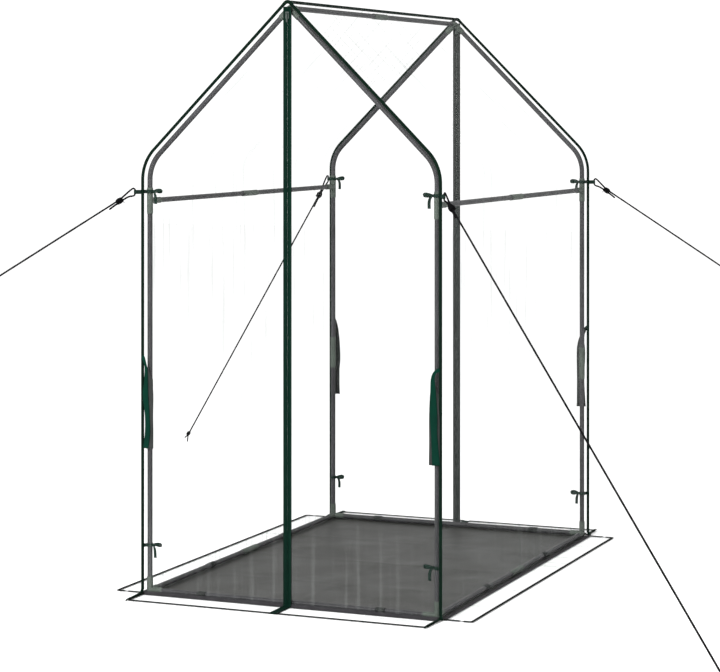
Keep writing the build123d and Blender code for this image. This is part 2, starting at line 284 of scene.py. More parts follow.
def ring_round(centre: Vector, u: Vector, v: Vector, radius: float, count: int) -> list[Vector]:
    """Points of a whole circle in the plane of two unit vectors."""
    return arc(centre, u, v, radius, spread(0, FULL_TURN, count)[:-1])


def fasten(piece: Piece, slot: str, *replaced: str) -> None:
    """Keep a piece on the frame's body.

    Args:
        piece: The piece.
        slot: Not used.
        replaced: Nodes that it stands in for.
    """
    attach(piece, "frame")
    if replaced:
        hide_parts(*replaced)


class Shape:
    """Points and faces of one piece, gathered from several forms."""

    def __init__(self) -> None:
        """Start with nothing."""
        self.points: list[Vector] = []
        self.faces: list[Face] = []
        self.slots: list[int] = []

    def loft(self, rings: Sequence[Sequence[Vector]], slots: Sequence[int] = (0,)) -> None:
        """Join rings of equal size into a skin that is closed at both ends.

        Args:
            rings: The rings, in order.
            slots: Material slot of each segment round the ring, or one for all.
        """
        start, size = len(self.points), len(rings[0])
        for ring in rings:
            self.points.extend(ring)
        for r in range(len(rings) - 1):
            a, b = start + r * size, start + (r + 1) * size
            for i in range(size):
                j = (i + 1) % size
                self.faces.append((a + i, a + j, b + j, b + i))
                self.slots.append(slots[i % len(slots)])
        top = start + (len(rings) - 1) * size
        self.faces.append(tuple(start + i for i in reversed(range(size))))
        self.faces.append(tuple(top + i for i in range(size)))
        self.slots += [slots[0], slots[0]]

    def grid(self, rows: Sequence[Sequence[Vector]]) -> None:
        """Join rows of points into an open sheet."""
        start, size = len(self.points), len(rows[0])
        for row in rows:
            self.points.extend(row)
        for r in range(len(rows) - 1):
            for i in range(size - 1):
                a = start + r * size + i
                self.faces.append((a, a + 1, a + size + 1, a + size))
                self.slots.append(0)

    def strip(
        self,
        line: Sequence[Vector],
        across: Vector | Sequence[Vector],
        width: Width,
        thick: float,
    ) -> None:
        """Sweep a flat band with soft edges along a line.

        Args:
            line: Middle of the band.
            across: Direction of its width, once or at each point.
            width: Its width, once or at each point.
            thick: Its thickness.
        """
        rings = []
        for i, (point, direction) in enumerate(zip(line, tangents(line))):
            u = across if isinstance(across, Vector) else across[i]
            u = (u - u.dot(direction) * direction).normalized()
            v = direction.cross(u)
            half = (width if isinstance(width, float) else width[i]) / 2
            flat, t = half - min(thick, half / 3), thick / 2
            under = [(-half, 0), (-flat, -t), (0, -1.2 * t), (flat, -t)]
            rings.append([point + a * u + b * v for a, b in under + [(-a, -b) for a, b in under]])
        self.loft(rings)

    def ribbon(self, line: Sequence[Vector], facing: Vector, width: Width, thick: float) -> None:
        """Sweep a flat band along a line, with its face one way."""
        self.strip(line, [d.cross(facing) for d in tangents(line)], width, thick)

    def piece(self, name: str, *finishes: Material) -> Piece:
        """Make the object.

        Args:
            name: The piece's name.
            finishes: Its materials, by slot.

        Returns:
            The new object, at the origin.
        """
        mesh = bpy.data.meshes.new(name)
        mesh.from_pydata(self.points, [], self.faces)
        for finish in finishes:
            mesh.materials.append(finish)
        for polygon, slot in zip(mesh.polygons, self.slots):
            polygon.material_index = slot
            polygon.use_smooth = len(polygon.vertices) == 4
        mesh.update()
        made = bpy.data.objects.new(name, mesh)
        bpy.context.scene.collection.objects.link(made)
        return made


class Shader:
    """A node material under construction, on a Principled shader."""

    def __init__(self, name: str) -> None:
        """Start a material.

        Args:
            name: The material's name.
        """
        self.material = bpy.data.materials.new(name)
        self.material.use_nodes = True
        self.tree = self.material.node_tree
        self.base = next(n for n in self.tree.nodes if n.type == "BSDF_PRINCIPLED")
        self.output = next(n for n in self.tree.nodes if n.type == "OUTPUT_MATERIAL")
        self.place = self.add("ShaderNodeTexCoord").outputs["Object"]

    def add(self, kind: str, **settings: object) -> bpy.types.Node:
        """Add a node and set its properties."""
        node = self.tree.nodes.new(kind)
        for key, value in settings.items():
            setattr(node, key, value)
        return node

    def set(self, **values: object) -> None:
        """Set sockets of the Principled shader, with underscores for spaces."""
        for key, value in values.items():
            self.feed(self.base.inputs[key.replace("_", " ")], value)

    def feed(self, socket: Socket, value: object) -> None:
        """Link a socket to another, or set its value."""
        if isinstance(value, Socket):
            self.tree.links.new(value, socket)
        else:
            socket.default_value = value

    def stretched(self, scale: Triple, turn: Triple = (0, 0, 0)) -> Socket:
        """Object coordinates, turned and then scaled along each axis."""
        mapping = self.add("ShaderNodeMapping")
        self.feed(mapping.inputs["Vector"], self.place)
        mapping.inputs["Rotation"].default_value = turn
        mapping.inputs["Scale"].default_value = scale
        return mapping.outputs[0]

    def noise(self, scale: float, detail: float = 3, place: Socket | None = None) -> Socket:
        """Soft random cloud, about 0 to 1."""
        node = self.add("ShaderNodeTexNoise")
        self.feed(node.inputs["Vector"], place or self.place)
        node.inputs["Scale"].default_value = scale
        node.inputs["Detail"].default_value = detail
        return node.outputs[0]

    def threads(self, pitch: float, along: str) -> Socket:
        """Bands that repeat at a pitch along one axis."""
        node = self.add("ShaderNodeTexWave", wave_type="BANDS", bands_direction=along)
        self.feed(node.inputs["Vector"], self.place)
        node.inputs["Scale"].default_value = math.pi / (10 * pitch)  # bands repeat at pi / 10 at scale 1
        node.inputs["Distortion"].default_value = 0.3
        return node.outputs["Fac"]

    def maths(self, operation: str, first: object, second: object = 0.5) -> Socket:
        """One sum on two values."""
        node = self.add("ShaderNodeMath", operation=operation)
        self.feed(node.inputs[0], first)
        self.feed(node.inputs[1], second)
        return node.outputs[0]

    def plus(self, first: object, second: object) -> Socket:
        """Add two values."""
        return self.maths("ADD", first, second)

    def times(self, first: object, second: object) -> Socket:
        """Multiply two values."""
        return self.maths("MULTIPLY", first, second)

    def fit(self, value: object, source: Sequence[float], target: Sequence[float] = (0, 1)) -> Socket:
        """Move a value from one range to another, with its ends held."""
        node = self.add("ShaderNodeMapRange")
        for socket, number in zip(node.inputs, (value, *source, *target)):
            self.feed(socket, number)
        return node.outputs[0]

    def mixed(self, share: object, first: str, second: str) -> Socket:
        """Blend two hex colours."""
        node = self.add("ShaderNodeMix", data_type="RGBA")
        self.feed(node.inputs[0], share)
        node.inputs[6].default_value = linear(first)
        node.inputs[7].default_value = linear(second)
        return node.outputs[2]

    def relief(self, height: object, depth: float) -> None:
        """Raise the surface by a pattern.

        Args:
            height: Pattern from 0 to 1.
            depth: Height of its peaks, in metres.
        """
        node = self.add("ShaderNodeBump")
        node.inputs["Distance"].default_value = depth
        self.feed(node.inputs["Height"], height)
        self.set(Normal=node.outputs[0])


@dataclass(frozen=True)
class TubeCoating:
    """Grey paint on steel tube, a little cloudy, with rubbed streaks."""

    light: str = "#373739"
    dark: str = "#29292a"

    def build(self) -> Material:
        """Make the material."""
        shader = Shader("tube_coating")
        cloud = shader.noise(9.0, 4)
        streak = shader.noise(14.0, 2, shader.stretched((3, 3, 0.5)))
        share = shader.plus(shader.times(cloud, 0.5), shader.times(streak, 0.5))
        shader.set(Base_Color=shader.mixed(shader.fit(share, (0.35, 0.65)), self.dark, self.light))
        shader.set(Roughness=shader.fit(cloud, (0.3, 0.7), (0.4, 0.55)), Specular_IOR_Level=0.15)
        shader.relief(shader.noise(900.0, 2), 0.00006)
        return shader.material


@dataclass(frozen=True)
class MouldedPlastic:
    """Grey-green fitting plastic with a fine spark-eroded grain."""

    light: str = "#485049"
    dark: str = "#3d433e"

    def build(self) -> Material:
        """Make the material."""
        shader = Shader("fitting_plastic")
        cloud = shader.noise(40.0, 4)
        shader.set(Base_Color=shader.mixed(shader.fit(cloud, (0.3, 0.7)), self.dark, self.light))
        patches = shader.noise(120.0)
        shader.set(Roughness=shader.fit(patches, (0.3, 0.7), (0.45, 0.6)), Specular_IOR_Level=0.15)
        shader.relief(shader.noise(1400.0, 2), 0.00008)
        return shader.material


@dataclass(frozen=True)
class ClearFilm:
    """Clear soft film: nearly invisible, with faint upright streaks low down and thin creases above."""

    veil: float = 0.006
    streak: float = 0.15
    crease: float = 0.04
    streak_top: float = 0.32

    def build(self) -> Material:
        """Make the material."""
        shader = Shader("clear_film")
        height = shader.add("ShaderNodeSeparateXYZ")
        shader.feed(height.inputs[0], shader.place)
        low = shader.fit(height.outputs["Z"], (0.02, self.streak_top), (1, 0))
        folds = shader.noise(1.0, 4, shader.stretched((55, 55, 1.1)))
        streaks = shader.times(shader.fit(folds, (0.52, 0.78), (0, self.streak)), low)
        facing = shader.add("ShaderNodeSeparateXYZ")
        shader.feed(facing.inputs[0], shader.add("ShaderNodeNewGeometry").outputs["True Normal"])
        on_sides = shader.fit(shader.maths("ABSOLUTE", facing.outputs["Y"]), (0.3, 0.6), (1, 0))
        lines = shader.noise(1.0, 3, shader.stretched((3, 48, 3), (0.12, 0, 0)))
        slants = shader.times(shader.fit(lines, (0.55, 0.7)), on_sides)
        creases = shader.times(slants, self.crease)
        share = shader.plus(shader.plus(streaks, creases), self.veil)
        gloss = shader.add("ShaderNodeFresnel")
        gloss.inputs["IOR"].default_value = 1.2
        share = shader.plus(share, shader.times(gloss.outputs[0], 0.2))
        clear = shader.add("ShaderNodeBsdfTransparent")
        shader.feed(clear.inputs["Color"], shader.mixed(slants, "#ffffff", "#eef0ef"))
        mix = shader.add("ShaderNodeMixShader")
        shader.feed(mix.inputs[0], shader.fit(share, (0, 1)))
        shader.feed(mix.inputs[1], clear.outputs[0])
        shader.feed(mix.inputs[2], shader.base.outputs[0])
        shader.feed(shader.output.inputs["Surface"], mix.outputs[0])
        shader.set(Base_Color=linear("#9a9e9c"), Roughness=0.25, Specular_IOR_Level=0.2)
        shader.relief(shader.noise(26.0, 3), 0.0012)
        return shader.material


@dataclass(frozen=True)
class GroundFilm:
    """Dark woven ground sheet with a slight sheen and worn, dusty patches."""

    light: str = "#31312e"
    dark: str = "#232422"
    pitch: float = 0.0025

    def build(self) -> Material:
        """Make the material."""
        shader = Shader("ground_film")
        cloud = shader.noise(5.0, 6)
        weave = shader.times(shader.threads(self.pitch, "X"), shader.threads(self.pitch, "Y"))
        share = shader.plus(shader.fit(cloud, (0.3, 0.7), (0, 0.7)), shader.times(weave, 0.3))
        shader.set(Base_Color=shader.mixed(share, self.dark, self.light))
        shader.set(Roughness=shader.fit(cloud, (0.3, 0.7), (0.4, 0.55)), Specular_IOR_Level=0.1)
        shader.relief(shader.plus(weave, shader.times(shader.noise(60.0), 3.0)), 0.0002)
        return shader.material


@dataclass(frozen=True)
class WovenTape:
    """Woven polyester in one colour, for tapes, bindings, straps and rope."""

    name: str
    light: str
    dark: str
    pitch: float = 0.0009
    depth: float = 0.00015
    roughness: float = 0.75

    def build(self) -> Material:
        """Make the material."""
        shader = Shader(self.name)
        across = shader.plus(shader.threads(self.pitch, "X"), shader.threads(self.pitch, "Y"))
        weave = shader.times(across, shader.threads(self.pitch, "Z"))
        cloud = shader.fit(shader.noise(30.0, 3), (0.3, 0.7), (0, 0.6))
        share = shader.plus(cloud, shader.times(weave, 0.25))
        shader.set(Base_Color=shader.mixed(share, self.dark, self.light))
        shader.set(Roughness=self.roughness, Specular_IOR_Level=0.05)
        shader.relief(weave, self.depth)
        return shader.material


@dataclass(frozen=True)
class DarkEnamel:
    """Enamelled zip metal, worn lighter in patches."""

    light: str = "#2c3a33"
    dark: str = "#10201a"

    def build(self) -> Material:
        """Make the material."""
        shader = Shader("dark_enamel")
        wear = shader.noise(260.0, 4)
        shader.set(Base_Color=shader.mixed(shader.fit(wear, (0.55, 0.7)), self.dark, self.light))
        shader.set(Roughness=shader.fit(wear, (0.3, 0.7), (0.3, 0.5)), Specular_IOR_Level=0.25)
        return shader.material


@dataclass(frozen=True)
class Finishes:
    """Every material of the greenhouse."""

    tube: Material
    fitting: Material
    film: Material
    ground: Material
    piping: Material
    piping_bright: Material
    tape: Material
    tape_edge: Material
    tape_light: Material
    ribbon: Material
    webbing: Material
    webbing_back: Material
    hem: Material
    foot: Material
    rope: Material
    enamel: Material

    @classmethod
    def build(cls) -> Finishes:
        """Make them all."""
        return cls(
            tube=TubeCoating().build(),
            fitting=MouldedPlastic().build(),
            film=ClearFilm().build(),
            ground=GroundFilm().build(),
            piping=WovenTape("piping_binding", "#05190f", "#020f09").build(),
            # A lighter copy of the piping, a painted highlight along one side of each seam.
            piping_bright=WovenTape("piping_edge", "#06281c", "#041f16").build(),
            tape=WovenTape("zip_tape", "#021e15", "#011710").build(),
            # Darker and lighter copies of the zip tape: painted shade and a painted highlight on its welt.
            tape_edge=WovenTape("zip_tape_edge", "#020d09", "#010805").build(),
            tape_light=WovenTape("zip_tape_light", "#0f2a20", "#0b2119").build(),
            ribbon=WovenTape("tie_ribbon", "#1a2a24", "#111e19").build(),
            webbing=WovenTape("strap_webbing", "#012c20", "#01221a", 0.0014, 0.0003).build(),
            webbing_back=WovenTape("strap_lining", "#333534", "#282a29", 0.0014, 0.0003).build(),
            hem=WovenTape("skirt_hem", "#141816", "#0b0e0c").build(),
            foot=WovenTape("foot_binding", "#39383a", "#29282a").build(),
            rope=WovenTape("guy_rope", "#0c0c0d", "#040405", 0.0012, 0.0003).build(),
            enamel=DarkEnamel().build(),
        )


@dataclass
class Frame:
    """Tubes and fittings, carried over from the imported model."""

    nodes: dict[str, Piece]
    parts: list[dict[str, object]]
    finishes: Finishes

    def dress(self) -> None:
        """Give each carried-over node its finish."""
        by_slot = {
            "coated_tube": self.finishes.tube,
            "fitting_plastic": self.finishes.fitting,
            "zip_metal": self.finishes.enamel,
        }
        dressed = [part for part in self.parts if part["material_slot"] in by_slot]
        for part in dressed:
            node = self.nodes[str(part["node"])]
            node.data.materials.clear()
            node.data.materials.append(by_slot[str(part["material_slot"])])
        LOG.info("frame: dressed %d nodes", len(dressed))


class FoldLine:
    """The slanted line on which half of a door turns back."""

    def __init__(self, corner: Corner, plan: Plan) -> None:
        """Place the line in its end wall.

        Args:
            corner: The corner beside that half.
            plan: Main sizes.
        """
        slope = math.atan2(FOLD_FOOT_X - FOLD_TOP[0], FOLD_TOP[1])
        self.body = f"door_{corner.name}"
        self.start = corner.place(FOLD_FOOT_X, plan.wall_y, 0)
        self.across = math.cos(slope) * corner.inward_x - math.sin(slope) * UP

    def bend(self, piece: Piece, slot: str) -> None:
        """Bake a piece's placement into its mesh; it is not made to turn with the door."""
        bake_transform(piece)


def turn_with_flap(piece: Piece, side: Side) -> None:
    """Bake a piece's placement into its mesh; it is not made to turn with a side skirt.

    Args:
        piece: The piece.
        side: The skirt's side; not used.
    """
    f"ground_flap_{side.name.lower()}"
    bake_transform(piece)


class FootFold:
    """Section of an end wall's film: a skirt on the ground, a tight turn, then the wall."""

    def __init__(self, plan: Plan, turn: float = 0.008, rest_z: float = SKIRT_Z) -> None:
        """Work out the three stretches.

        Args:
            plan: Main sizes.
            turn: Radius of the turn.
            rest_z: Height of the skirt's film.
        """
        self.skirt_y, self.wall_y = plan.skirt_y, plan.wall_y
        self.turn, self.rest_z = turn, rest_z
        self.skirt = self.skirt_y - self.wall_y - turn
        self.foot = self.skirt + turn * math.pi / 2

    def at(self, distance: float) -> tuple[float, float, float, float]:
        """Follow the section from the hem.

        Args:
            distance: Length along the section.

        Returns:
            Y and Z of the point, and Y and Z of the outward normal.
        """
        angle = min(max(0.0, (distance - self.skirt) / self.turn), math.pi / 2)
        normal_y, normal_z = math.sin(angle), math.cos(angle)
        y = self.wall_y + self.turn - self.turn * normal_y + max(0.0, self.skirt - distance)
        z = self.rest_z + self.turn - self.turn * normal_z + max(0.0, distance - self.foot)
        return y, z, normal_y, normal_z

    def spot(self, corner: Corner, run: float, x: float, out: float) -> Vector:
        """A point at a distance outside the film."""
        y, z, normal_y, normal_z = self.at(run)
        return corner.place(x, y + out * normal_y, z + out * normal_z)

    def reach_to(self, height: float) -> float:
        """Distance from the hem at which the wall has a height."""
        return self.foot + height - self.rest_z - self.turn

    def rows(self, top: float, skirt: int, turn: int, wall: int) -> list[float]:
        """Distances from the hem to a top, with a number of steps in each stretch."""
        low, bend = spread(0, self.skirt, skirt)[:-1], spread(self.skirt, self.foot, turn)[:-1]
        return low + bend + spread(self.foot, top, wall)


def crease(x: float, y: float, z: float) -> float:
    """Soft random height from -1 to 1."""
    return noise.noise(Vector((x, y, z)))


@dataclass
class SideCover:
    """Film of one long side, in one sheet: the wall, the bend over the eave and the roof."""

    plan: Plan
    finish: Material
    rows: int = 120
    columns: int = 72
    wall_sag: float = 0.003
    roof_sag: float = 0.009
    wrinkle: float = 0.0016
    short_of_ridge: float = 0.006
    short_of_seam: float = 0.0032

    def build(self, side: Side) -> None:
        """Make the sheet of one side."""
        outline = Roofline(self.plan, self.plan.gap)
        length = outline.length - self.short_of_ridge
        half = self.plan.wall_y - self.short_of_seam
        grid = []
        for run in spread(0, length, self.rows):
            x, z, normal_x, normal_z = outline.at(run)
            row = []
            for place in spread(-1, 1, self.columns):
                inward = self.slack(run, place, outline)
                out = x - inward * normal_x
                row.append(Vector((side.value * out, half * place, z - inward * normal_z)))
            grid.append(row)
        shape = Shape()
        shape.grid(grid)
        name = side.name.lower()
        made = shape.piece(f"film_{name}", self.finish)
        fasten(made, "clear_film", f"cover_{name}")

    def slack(self, run: float, place: float, outline: Roofline) -> float:
        """How far the film hangs inward.

        Args:
            run: Length along the outline.
            place: From -1 at the front seam to 1 at the back one.
            outline: The side's outline.

        Returns:
            The distance, in metres.
        """
        across = max(0.0, 1 - place**2)
        roof = max(0.0, run - outline.wall - outline.bend) / outline.slope
        wall = min(1.0, run / outline.wall)
        sag, share = (self.wall_sag, wall) if roof <= 0 else (self.roof_sag, roof)
        hang = sag * math.sin(math.pi * share)
        fold = crease(run * 2.2, place * 9, 3.7) + 0.6 * crease(run * 9 + place * 6, place * 17, 8.1)
        return across**0.6 * (hang + self.wrinkle * fold * min(1.0, 6 * across))


@dataclass
class EndWallHalf:
    """Half of an end wall: film from the zip to the corner, with its length of ground skirt."""

    plan: Plan
    finish: Material
    skirt_rows: int = 7
    turn_rows: int = 4
    wall_rows: int = 92
    columns: int = 40
    wrinkle: float = 0.0013
    ripple: float = 0.0014
    under_seam: float = 0.0015  # how far the film's top stays inside the seams
    short_of_corner: float = 0.0022
    tip_rise: float = 0.016  # of the film's level top over the ridge tube

    def build(self, corner: Corner) -> None:
        """Make the sheet of one half."""
        section, outline = FootFold(self.plan), Roofline(self.plan, self.plan.gap - self.under_seam)
        edge = self.plan.wall_x - self.short_of_corner
        tip = self.plan.ridge_z + self.tip_rise
        columns = spread(ZIP_EDGE, edge, self.columns)
        tops = [section.reach_to(min(outline.height_at(x), tip)) for x in columns]
        runs = [section.rows(top, self.skirt_rows, self.turn_rows, self.wall_rows) for top in tops]
        grid = [[self.film_point(corner, x, run[r], section) for x, run in zip(columns, runs)]
                for r in range(len(runs[0]))]
        shape = Shape()
        shape.grid(grid)
        made = shape.piece(f"end_film_{corner.name}", self.finish)
        FoldLine(corner, self.plan).bend(made, "clear_film")
        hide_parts(f"gable_{corner.end.name.lower()}", f"door_flap_{corner.name}", "skirt_corners")

    def film_point(self, corner: Corner, x: float, run: float, section: FootFold) -> Vector:
        """A point of the film with its small folds."""
        y, z, normal_y, normal_z = section.at(run)
        free = min(1.0, 12 * max(0.0, self.plan.wall_x - x), 12 * x)
        if run < section.foot:
            lift = self.ripple * (0.5 + 0.5 * crease(x * 16, run * 9, 2.2)) * free
            return corner.place(x, y, z + lift * normal_z)
        up_wall = run - section.foot
        fold = crease(x * 14, z * 1.6, 5.3) + math.exp(-up_wall / 0.25) * crease(x * 44, z * 3, 1.1)
        inward = free * min(1.0, up_wall / 0.03) * self.wrinkle * (1 + fold)
        return corner.place(x, y - inward * normal_y, z)


@dataclass
class SideSkirt:
    """Flap of film that lies on the ground along one long side, with its hem."""

    plan: Plan
    finish: Material
    hem_finish: Material
    columns: int = 96
    steps: tuple[float, ...] = (0, 0.015, 0.03, 0.05, 0.08, 0.12, 0.25, 0.4, 0.55, 0.7, 0.85, 1)
    ripple: float = 0.0016
    off_wall: float = 0.0006
    short_of_corner: float = 0.0055

    def build(self, side: Side) -> None:
        """Make the flap and its hem."""
        name = side.name.lower()
        half = self.plan.wall_y - self.short_of_corner
        inner, outer = self.plan.wall_x + self.off_wall, self.plan.skirt_x
        across = [(share, inner + (outer - inner) * share) for share in self.steps]
        along = spread(-half, half, self.columns)
        shape = Shape()
        shape.grid([[self.point(side, x, y, share) for y in along] for share, x in across])
        film = shape.piece(f"side_skirt_{name}", self.finish)
        hem = self.hem(side, half)
        for made, slot in ((film, "clear_film"), (hem, "piping")):
            turn_with_flap(made, side)
        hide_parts(f"skirt_{name}")

    def point(self, side: Side, x: float, y: float, share: float) -> Vector:
        """A point of the flap, lifted by small ripples."""
        lift = self.ripple * min(1.0, 4 * share) * (0.5 + 0.5 * crease(x * 9, y * 11, 4.4 + side.value))
        return Vector((side.value * x, y, SKIRT_Z + lift))

    def hem(self, side: Side, half: float) -> Piece:
        """Bound edge round the flap's three free sides."""
        out, end = self.plan.skirt_x - HEM_WIDTH / 2, half - HEM_WIDTH / 2
        straight, inner = end - HEM_ROUND, self.plan.wall_x + 0.002
        cut = 0.3 * HEM_ROUND
        corner = [(inner, end), (out - HEM_ROUND, end), (out - cut, end - cut), (out, straight)]
        route = corner + [(out, y) for y in spread(straight, -straight, 12)[1:-1]]
        route += [(x, -y) for x, y in reversed(corner)]
        points = [Vector((side.value * x, y, HEM_Z)) for x, y in route]
        shape = Shape()
        shape.strip(smooth_line(points, 5), -X_WAY, HEM_WIDTH, HEM_THICK)
        return shape.piece(f"side_hem_{side.name.lower()}", self.hem_finish)


@dataclass
class EndHem:
    """Bound edge of an end skirt: along the outer edge and back to the corner seam."""

    plan: Plan
    finish: Material
    start_x: float = 0.011
    off_wall: float = 0.004

    def build(self, corner: Corner) -> None:
        """Make the hem of one half."""
        out, end = self.plan.skirt_y - HEM_WIDTH / 2, self.plan.wall_x - HEM_WIDTH / 2
        route = [(x, out) for x in spread(self.start_x, end - HEM_ROUND, 8)]
        route.append((end - 0.3 * HEM_ROUND, out - 0.3 * HEM_ROUND))
        route += [(end, y) for y in spread(out - HEM_ROUND, self.plan.wall_y + self.off_wall, 3)]
        shape = Shape()
        shape.ribbon(smooth_line([corner.place(x, y, HEM_Z) for x, y in route], 5), UP, HEM_WIDTH, HEM_THICK)
        made = shape.piece(f"end_hem_{corner.name}", self.finish)
        FoldLine(corner, self.plan).bend(made, "piping")


@dataclass
class FootSeam:
    """Binding in the turn between a wall and its ground skirt."""

    plan: Plan
    finish: Material
    width: float = 0.013
    thick: float = 0.0012
    steps: int = 48
    on_skirt: float = 0.0045
    on_wall: float = 0.0015
    off_film: float = 0.0006
    first_x: float = 0.0135
    short_of_corner: float = 0.0055
    side_off_wall: float = 0.0009
    side_short: float = 0.0095
    side_z: float = 0.0036

    def end(self, corner: Corner) -> None:
        """Make the binding of half an end wall, round the foot's turn."""
        fold = FootFold(self.plan)
        runs = spread(fold.skirt - self.on_skirt, fold.foot + self.on_wall, 8)
        section = [(run, self.off_film + self.thick) for run in runs]
        section += [(run, self.off_film) for run in reversed(runs)]
        shape = Shape()
        shape.loft([[fold.spot(corner, run, x, out) for run, out in section]
                    for x in spread(self.first_x, self.plan.wall_x - self.short_of_corner, self.steps)])
        made = shape.piece(f"foot_seam_{corner.name}", self.finish)
        FoldLine(corner, self.plan).bend(made, "piping")

    def side(self, side: Side) -> None:
        """Make the binding along one long side, flat beside the wall."""
        inner, half = self.plan.wall_x + self.side_off_wall, self.plan.wall_y - self.side_short
        middle = side.value * (inner + self.width / 2)
        shape = Shape()
        line = [Vector((middle, y, self.side_z)) for y in spread(-half, half, self.steps)]
        shape.strip(line, X_WAY, self.width, self.thick)
        made = shape.piece(f"foot_seam_{side.name.lower()}", self.finish)
        turn_with_flap(made, side)


@dataclass
class ZipTape:
    """Half of a zip: a tape with a welted edge and a raised coil, down the wall and over the skirt; the welt
    has a painted highlight on top and painted shade on its flanks and outer edge.
    """

    plan: Plan
    finishes: Finishes
    top_z: float = 1.794
    teeth_top_z: float = 1.790
    pitch: float = 0.003
    tooth: tuple[tuple[float, float, float], ...] = (
        (-0.0009, 0.0, 0.0005),
        (-0.0005, 0.0, 0.0009),
        (0.0032, 0.0005, 0.0008),
        (0.0040, 0.0005, 0.0002),
    )
    section: tuple[tuple[float, float], ...] = (
        (0.0137, 0.0010),
        (0.0133, 0.0023),
        (0.0118, 0.0028),
        (0.0094, 0.0023),
        (0.0086, 0.0013),
        (0.0046, 0.0013),
        (0.0008, 0.0013),
        (0.0008, 0.0007),
        (0.0132, 0.0006),
    )
    # Slot 1 is the darker copy, painted shade on the welt's flanks and the outer edge; slot 2 the lighter
    # copy, a painted highlight on the welt's top; slot 3 the grey lining on the back.
    section_slots: tuple[int, ...] = (1, 1, 2, 1, 0, 0, 0, 3, 1)
    coil_start: float = 0.004
    coil_out: float = 0.0014
    tooth_half: float = 0.00065

    def build(self, corner: Corner) -> None:
        """Make the tape and the coil of one half."""
        fold = FootFold(self.plan)
        runs = fold.rows(fold.reach_to(self.top_z), 8, 6, 110)
        tape = Shape()
        rings = [[fold.spot(corner, run, x, out) for x, out in self.section] for run in runs]
        tape.loft(rings, self.section_slots)
        woven = self.finishes
        materials = woven.tape, woven.tape_edge, woven.tape_light, woven.webbing_back
        made = tape.piece(f"zip_tape_{corner.name}_woven", *materials)
        for piece in (made, self.coil(corner, fold)):
            FoldLine(corner, self.plan).bend(piece, "zip_tape")
        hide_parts(f"zip_tape_{corner.name}", "zip_top_tapes")

    def coil(self, corner: Corner, fold: FootFold) -> Piece:
        """Slanted turns of the coil, one after another."""
        shape = Shape()
        shift = self.pitch / 4 * corner.side.value
        count = int((fold.reach_to(self.teeth_top_z) - self.coil_start) / self.pitch)
        for i in range(count):
            rings = []
            for x, slant, tall in self.tooth:
                middle = self.coil_start + i * self.pitch + shift + slant
                low, high = middle - self.tooth_half, middle + self.tooth_half
                outline = (low, -0.0004), (low, tall - 0.0003), (high, tall - 0.0003), (high, -0.0004)
                rings.append([fold.spot(corner, run, x, self.coil_out + rise) for run, rise in outline])
            shape.loft(rings)
        return shape.piece(f"zip_coil_{corner.name}", self.finishes.tape)


